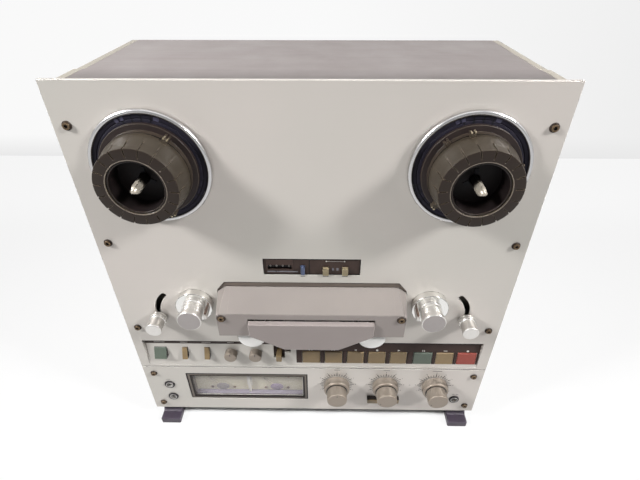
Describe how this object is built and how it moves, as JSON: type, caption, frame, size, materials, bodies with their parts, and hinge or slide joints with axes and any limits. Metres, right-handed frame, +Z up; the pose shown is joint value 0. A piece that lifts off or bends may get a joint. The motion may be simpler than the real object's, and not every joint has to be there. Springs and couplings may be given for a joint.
{
  "type": "reel-to-reel tape deck",
  "caption": "Upright reel-to-reel tape deck with two locking reel hubs, a closed-loop head block under a flap, logic keys, needle meters and level knobs.",
  "frame": {"origin": "middle of the deck's footprint on the surface that its two feet stand on, halfway between the spindle tips and the rear bumper tips", "axes": "+Z up, front panel facing -Y, +X to the right as seen by someone who faces the front"},
  "size_m": [0.432, 0.2518, 0.4607],
  "materials": {
    "front_panel": "champagne silver, fine satin",
    "cover_paint": "brown-grey satin paint",
    "side_paint": "beige satin paint",
    "plated_steel": "zinc plated",
    "polished_metal": "turned and polished",
    "spool_metal": "polished",
    "hub_plastic": "dark brown moulding",
    "black_plastic": "black moulding",
    "foot_plastic": "dark moulding",
    "housing_plastic": "grey satin moulding",
    "roller_rubber": "rubber tyre with a white cap",
    "key_tan": "satin",
    "key_green": "satin",
    "key_red": "satin",
    "key_blue": "satin",
    "knob_metal": "turned, satin",
    "clear_lens": "clear moulded window"
  },
  "bodies": {
    "case": {"deck_panel": "front_panel", "amp_panel": "front_panel", "top_cover": "cover_paint", "side_panel_left": "side_paint", "side_panel_right": "side_paint", "rear_panel": "plated_steel", "chassis": "plated_steel", "foot_left": "foot_plastic", "foot_right": "foot_plastic", "control_fascia": "front_panel", "head_block": "plated_steel", "head_housing": "housing_plastic", "counter_housing": "black_plastic", "meter_housing": "black_plastic", "meter_lens": "clear_lens"},
    "reel_table_left": {"reel_table_left": "polished_metal"},
    "reel_table_right": {"reel_table_right": "polished_metal"},
    "hub_base_left": {"hub_base_left": "hub_plastic"},
    "hub_base_right": {"hub_base_right": "hub_plastic"},
    "hub_ring_left": {"hub_ring_left": "hub_plastic"},
    "hub_ring_right": {"hub_ring_right": "hub_plastic"},
    "tension_arm_left": {"tension_arm_left": "spool_metal"},
    "tension_arm_right": {"tension_arm_right": "spool_metal"},
    "guide_roller_left": {"guide_roller_left": "polished_metal"},
    "guide_roller_right": {"guide_roller_right": "polished_metal"},
    "capstan_left": {"capstan_left": "plated_steel"},
    "capstan_right": {"capstan_right": "plated_steel"},
    "pinch_arm_left": {"pinch_arm_left": "plated_steel"},
    "pinch_arm_right": {"pinch_arm_right": "plated_steel"},
    "pinch_roller_left": {"pinch_roller_left": "roller_rubber"},
    "pinch_roller_right": {"pinch_roller_right": "roller_rubber"},
    "head_flap": {"head_flap": "housing_plastic"},
    "counter_drum": {"counter_drum": "black_plastic"},
    "counter_reset_button": {"counter_reset_button": "key_blue"},
    "memory_button": {"memory_button": "key_tan"},
    "repeat_button": {"repeat_button": "key_tan"},
    "meter_needle_left": {"meter_needle_left": "black_plastic"},
    "meter_needle_right": {"meter_needle_right": "black_plastic"},
    "key_rewind": {"key_rewind": "key_tan"},
    "key_fast_forward": {"key_fast_forward": "key_tan"},
    "key_reverse": {"key_reverse": "key_tan"},
    "key_stop": {"key_stop": "key_tan"},
    "key_play": {"key_play": "key_tan"},
    "key_pause": {"key_pause": "key_green"},
    "key_mute": {"key_mute": "key_tan"},
    "key_record": {"key_record": "key_red"},
    "power_button": {"power_button": "key_green"},
    "speed_button": {"speed_button": "key_tan"},
    "reel_size_button": {"reel_size_button": "key_tan"},
    "pitch_knob": {"pitch_knob": "knob_metal"},
    "timer_knob": {"timer_knob": "knob_metal"},
    "cue_lever": {"cue_lever": "key_tan"},
    "output_ring": {"output_ring": "knob_metal"},
    "output_knob": {"output_knob": "knob_metal"},
    "line_ring": {"line_ring": "knob_metal"},
    "line_knob": {"line_knob": "knob_metal"},
    "mic_ring": {"mic_ring": "knob_metal"},
    "mic_knob": {"mic_knob": "knob_metal"},
    "monitor_source_button": {"monitor_source_button": "key_tan"},
    "monitor_tape_button": {"monitor_tape_button": "key_tan"}
  },
  "joints": [
    {"name": "reel_left_spin", "type": "hinge", "parent": "case", "child": "reel_table_left", "pos_m": [-0.14, -0.0801, 0.385], "axis": [0, -1, 0], "continuous": true},
    {"name": "reel_right_spin", "type": "hinge", "parent": "case", "child": "reel_table_right", "pos_m": [0.14, -0.0801, 0.385], "axis": [0, -1, 0], "continuous": true},
    {"name": "hub_left_lift", "type": "slide", "parent": "reel_table_left", "child": "hub_base_left", "axis": [0, -1, 0], "range_m": [0, 0.05]},
    {"name": "hub_right_lift", "type": "slide", "parent": "reel_table_right", "child": "hub_base_right", "axis": [0, -1, 0], "range_m": [0, 0.05]},
    {"name": "hub_left_lock", "type": "hinge", "parent": "hub_base_left", "child": "hub_ring_left", "pos_m": [-0.14, -0.1101, 0.385], "axis": [0, -1, 0], "range_deg": [-60, 0]},
    {"name": "hub_right_lock", "type": "hinge", "parent": "hub_base_right", "child": "hub_ring_right", "pos_m": [0.14, -0.1101, 0.385], "axis": [0, -1, 0], "range_deg": [-30.5, 29.5]},
    {"name": "tension_left_swing", "type": "hinge", "parent": "case", "child": "tension_arm_left", "pos_m": [-0.139, -0.0701, 0.206], "axis": [0, -1, 0], "range_deg": [-55, 0], "stiffness_Nm_per_rad": 0.05, "springref_deg": 17.19},
    {"name": "tension_right_swing", "type": "hinge", "parent": "case", "child": "tension_arm_right", "pos_m": [0.139, -0.0701, 0.206], "axis": [0, -1, 0], "range_deg": [0, 55], "stiffness_Nm_per_rad": 0.05, "springref_deg": -17.19},
    {"name": "guide_left_spin", "type": "hinge", "parent": "case", "child": "guide_roller_left", "pos_m": [-0.129, -0.0951, 0.221], "axis": [0, -1, 0], "continuous": true},
    {"name": "guide_right_spin", "type": "hinge", "parent": "case", "child": "guide_roller_right", "pos_m": [0.129, -0.0951, 0.221], "axis": [0, -1, 0], "continuous": true},
    {"name": "capstan_right_spin", "type": "hinge", "parent": "case", "child": "capstan_right", "pos_m": [0.0665, -0.0901, 0.2105], "axis": [0, -1, 0], "continuous": true},
    {"name": "capstan_left_spin", "type": "hinge", "parent": "case", "child": "capstan_left", "pos_m": [-0.0665, -0.0901, 0.2105], "axis": [0, -1, 0], "continuous": true},
    {"name": "pinch_right_lift", "type": "hinge", "parent": "case", "child": "pinch_arm_right", "pos_m": [0.092, -0.0821, 0.184], "axis": [0, -1, 0], "range_deg": [-7, 0], "stiffness_Nm_per_rad": 0.03, "springref_deg": 11.46},
    {"name": "pinch_left_lift", "type": "hinge", "parent": "case", "child": "pinch_arm_left", "pos_m": [-0.092, -0.0821, 0.184], "axis": [0, -1, 0], "range_deg": [0, 7], "stiffness_Nm_per_rad": 0.03, "springref_deg": -11.46},
    {"name": "pinch_roller_left_spin", "type": "hinge", "parent": "pinch_arm_left", "child": "pinch_roller_left", "pos_m": [-0.0665, -0.0951, 0.1898], "axis": [0, -1, 0], "continuous": true},
    {"name": "pinch_roller_right_spin", "type": "hinge", "parent": "pinch_arm_right", "child": "pinch_roller_right", "pos_m": [0.0665, -0.0951, 0.1898], "axis": [0, -1, 0], "continuous": true},
    {"name": "head_flap_hinge", "type": "hinge", "parent": "case", "child": "head_flap", "pos_m": [0, -0.1043, 0.2156], "axis": [-1, 0, 0], "range_deg": [0, 85]},
    {"name": "counter_drum_spin", "type": "hinge", "parent": "case", "child": "counter_drum", "pos_m": [-0.033, -0.0721, 0.273], "axis": [1, 0, 0], "continuous": true},
    {"name": "counter_reset_press", "type": "slide", "parent": "case", "child": "counter_reset_button", "axis": [0, 1, 0], "range_m": [0, 0.001], "stiffness_N_per_m": 200, "springref_m": -0.001},
    {"name": "memory_press", "type": "slide", "parent": "case", "child": "memory_button", "axis": [0, 1, 0], "range_m": [0, 0.0015], "stiffness_N_per_m": 200, "springref_m": -0.001},
    {"name": "repeat_press", "type": "slide", "parent": "case", "child": "repeat_button", "axis": [0, 1, 0], "range_m": [0, 0.0015], "stiffness_N_per_m": 200, "springref_m": -0.001},
    {"name": "meter_left_swing", "type": "hinge", "parent": "case", "child": "meter_needle_left", "pos_m": [-0.12137, -0.0701, 0.058], "axis": [0, -1, 0], "range_deg": [-84, 0], "stiffness_Nm_per_rad": 0.00005, "springref_deg": 11.46},
    {"name": "meter_right_swing", "type": "hinge", "parent": "case", "child": "meter_needle_right", "pos_m": [-0.04913, -0.0701, 0.058], "axis": [0, -1, 0], "range_deg": [-84, 0], "stiffness_Nm_per_rad": 0.00005, "springref_deg": 11.46},
    {"name": "rewind_press", "type": "slide", "parent": "case", "child": "key_rewind", "axis": [0, 1, 0], "range_m": [0, 0.0015], "stiffness_N_per_m": 300, "springref_m": -0.001},
    {"name": "fast_forward_press", "type": "slide", "parent": "case", "child": "key_fast_forward", "axis": [0, 1, 0], "range_m": [0, 0.0015], "stiffness_N_per_m": 300, "springref_m": -0.001},
    {"name": "reverse_press", "type": "slide", "parent": "case", "child": "key_reverse", "axis": [0, 1, 0], "range_m": [0, 0.0015], "stiffness_N_per_m": 300, "springref_m": -0.001},
    {"name": "stop_press", "type": "slide", "parent": "case", "child": "key_stop", "axis": [0, 1, 0], "range_m": [0, 0.0015], "stiffness_N_per_m": 300, "springref_m": -0.001},
    {"name": "play_press", "type": "slide", "parent": "case", "child": "key_play", "axis": [0, 1, 0], "range_m": [0, 0.0015], "stiffness_N_per_m": 300, "springref_m": -0.001},
    {"name": "pause_press", "type": "slide", "parent": "case", "child": "key_pause", "axis": [0, 1, 0], "range_m": [0, 0.0015], "stiffness_N_per_m": 300, "springref_m": -0.001},
    {"name": "mute_press", "type": "slide", "parent": "case", "child": "key_mute", "axis": [0, 1, 0], "range_m": [0, 0.0015], "stiffness_N_per_m": 300, "springref_m": -0.001},
    {"name": "record_press", "type": "slide", "parent": "case", "child": "key_record", "axis": [0, 1, 0], "range_m": [0, 0.0015], "stiffness_N_per_m": 300, "springref_m": -0.001},
    {"name": "power_press", "type": "slide", "parent": "case", "child": "power_button", "axis": [0, 1, 0], "range_m": [0, 0.003], "stiffness_N_per_m": 300, "springref_m": -0.001},
    {"name": "speed_press", "type": "slide", "parent": "case", "child": "speed_button", "axis": [0, 1, 0], "range_m": [0, 0.003], "stiffness_N_per_m": 200, "springref_m": -0.001},
    {"name": "reel_size_press", "type": "slide", "parent": "case", "child": "reel_size_button", "axis": [0, 1, 0], "range_m": [0, 0.003], "stiffness_N_per_m": 200, "springref_m": -0.001},
    {"name": "pitch_turn", "type": "hinge", "parent": "case", "child": "pitch_knob", "pos_m": [-0.0995, -0.0851, 0.1369], "axis": [0, -1, 0], "range_deg": [-150, 150]},
    {"name": "timer_turn", "type": "hinge", "parent": "case", "child": "timer_knob", "pos_m": [-0.0695, -0.0851, 0.1369], "axis": [0, -1, 0], "range_deg": [-45, 45]},
    {"name": "cue_swing", "type": "hinge", "parent": "case", "child": "cue_lever", "pos_m": [-0.041, -0.0501, 0.134], "axis": [-1, 0, 0], "range_deg": [0, 12]},
    {"name": "output_ring_turn", "type": "hinge", "parent": "case", "child": "output_ring", "pos_m": [0.0305, -0.0851, 0.079], "axis": [0, -1, 0], "range_deg": [-150, 150]},
    {"name": "output_knob_turn", "type": "hinge", "parent": "case", "child": "output_knob", "pos_m": [0.0305, -0.0981, 0.079], "axis": [0, -1, 0], "range_deg": [-150, 150]},
    {"name": "line_ring_turn", "type": "hinge", "parent": "case", "child": "line_ring", "pos_m": [0.093, -0.0851, 0.079], "axis": [0, -1, 0], "range_deg": [-150, 150]},
    {"name": "line_knob_turn", "type": "hinge", "parent": "case", "child": "line_knob", "pos_m": [0.093, -0.0981, 0.079], "axis": [0, -1, 0], "range_deg": [-150, 150]},
    {"name": "mic_ring_turn", "type": "hinge", "parent": "case", "child": "mic_ring", "pos_m": [0.1565, -0.0851, 0.079], "axis": [0, -1, 0], "range_deg": [-150, 150]},
    {"name": "mic_knob_turn", "type": "hinge", "parent": "case", "child": "mic_knob", "pos_m": [0.1565, -0.0981, 0.079], "axis": [0, -1, 0], "range_deg": [-150, 150]},
    {"name": "monitor_source_press", "type": "slide", "parent": "case", "child": "monitor_source_button", "axis": [0, 1, 0], "range_m": [0, 0.003], "stiffness_N_per_m": 200, "springref_m": -0.001},
    {"name": "monitor_tape_press", "type": "slide", "parent": "case", "child": "monitor_tape_button", "axis": [0, 1, 0], "range_m": [0, 0.003], "stiffness_N_per_m": 200, "springref_m": -0.001}
  ],
  "couplings": [
    {"joint": "capstan_left_spin", "follows": "capstan_right_spin", "ratio": 1},
    {"joint": "pinch_left_lift", "follows": "pinch_right_lift", "ratio": -1},
    {"joint": "counter_drum_spin", "follows": "reel_right_spin", "ratio": 0.5}
  ]
}
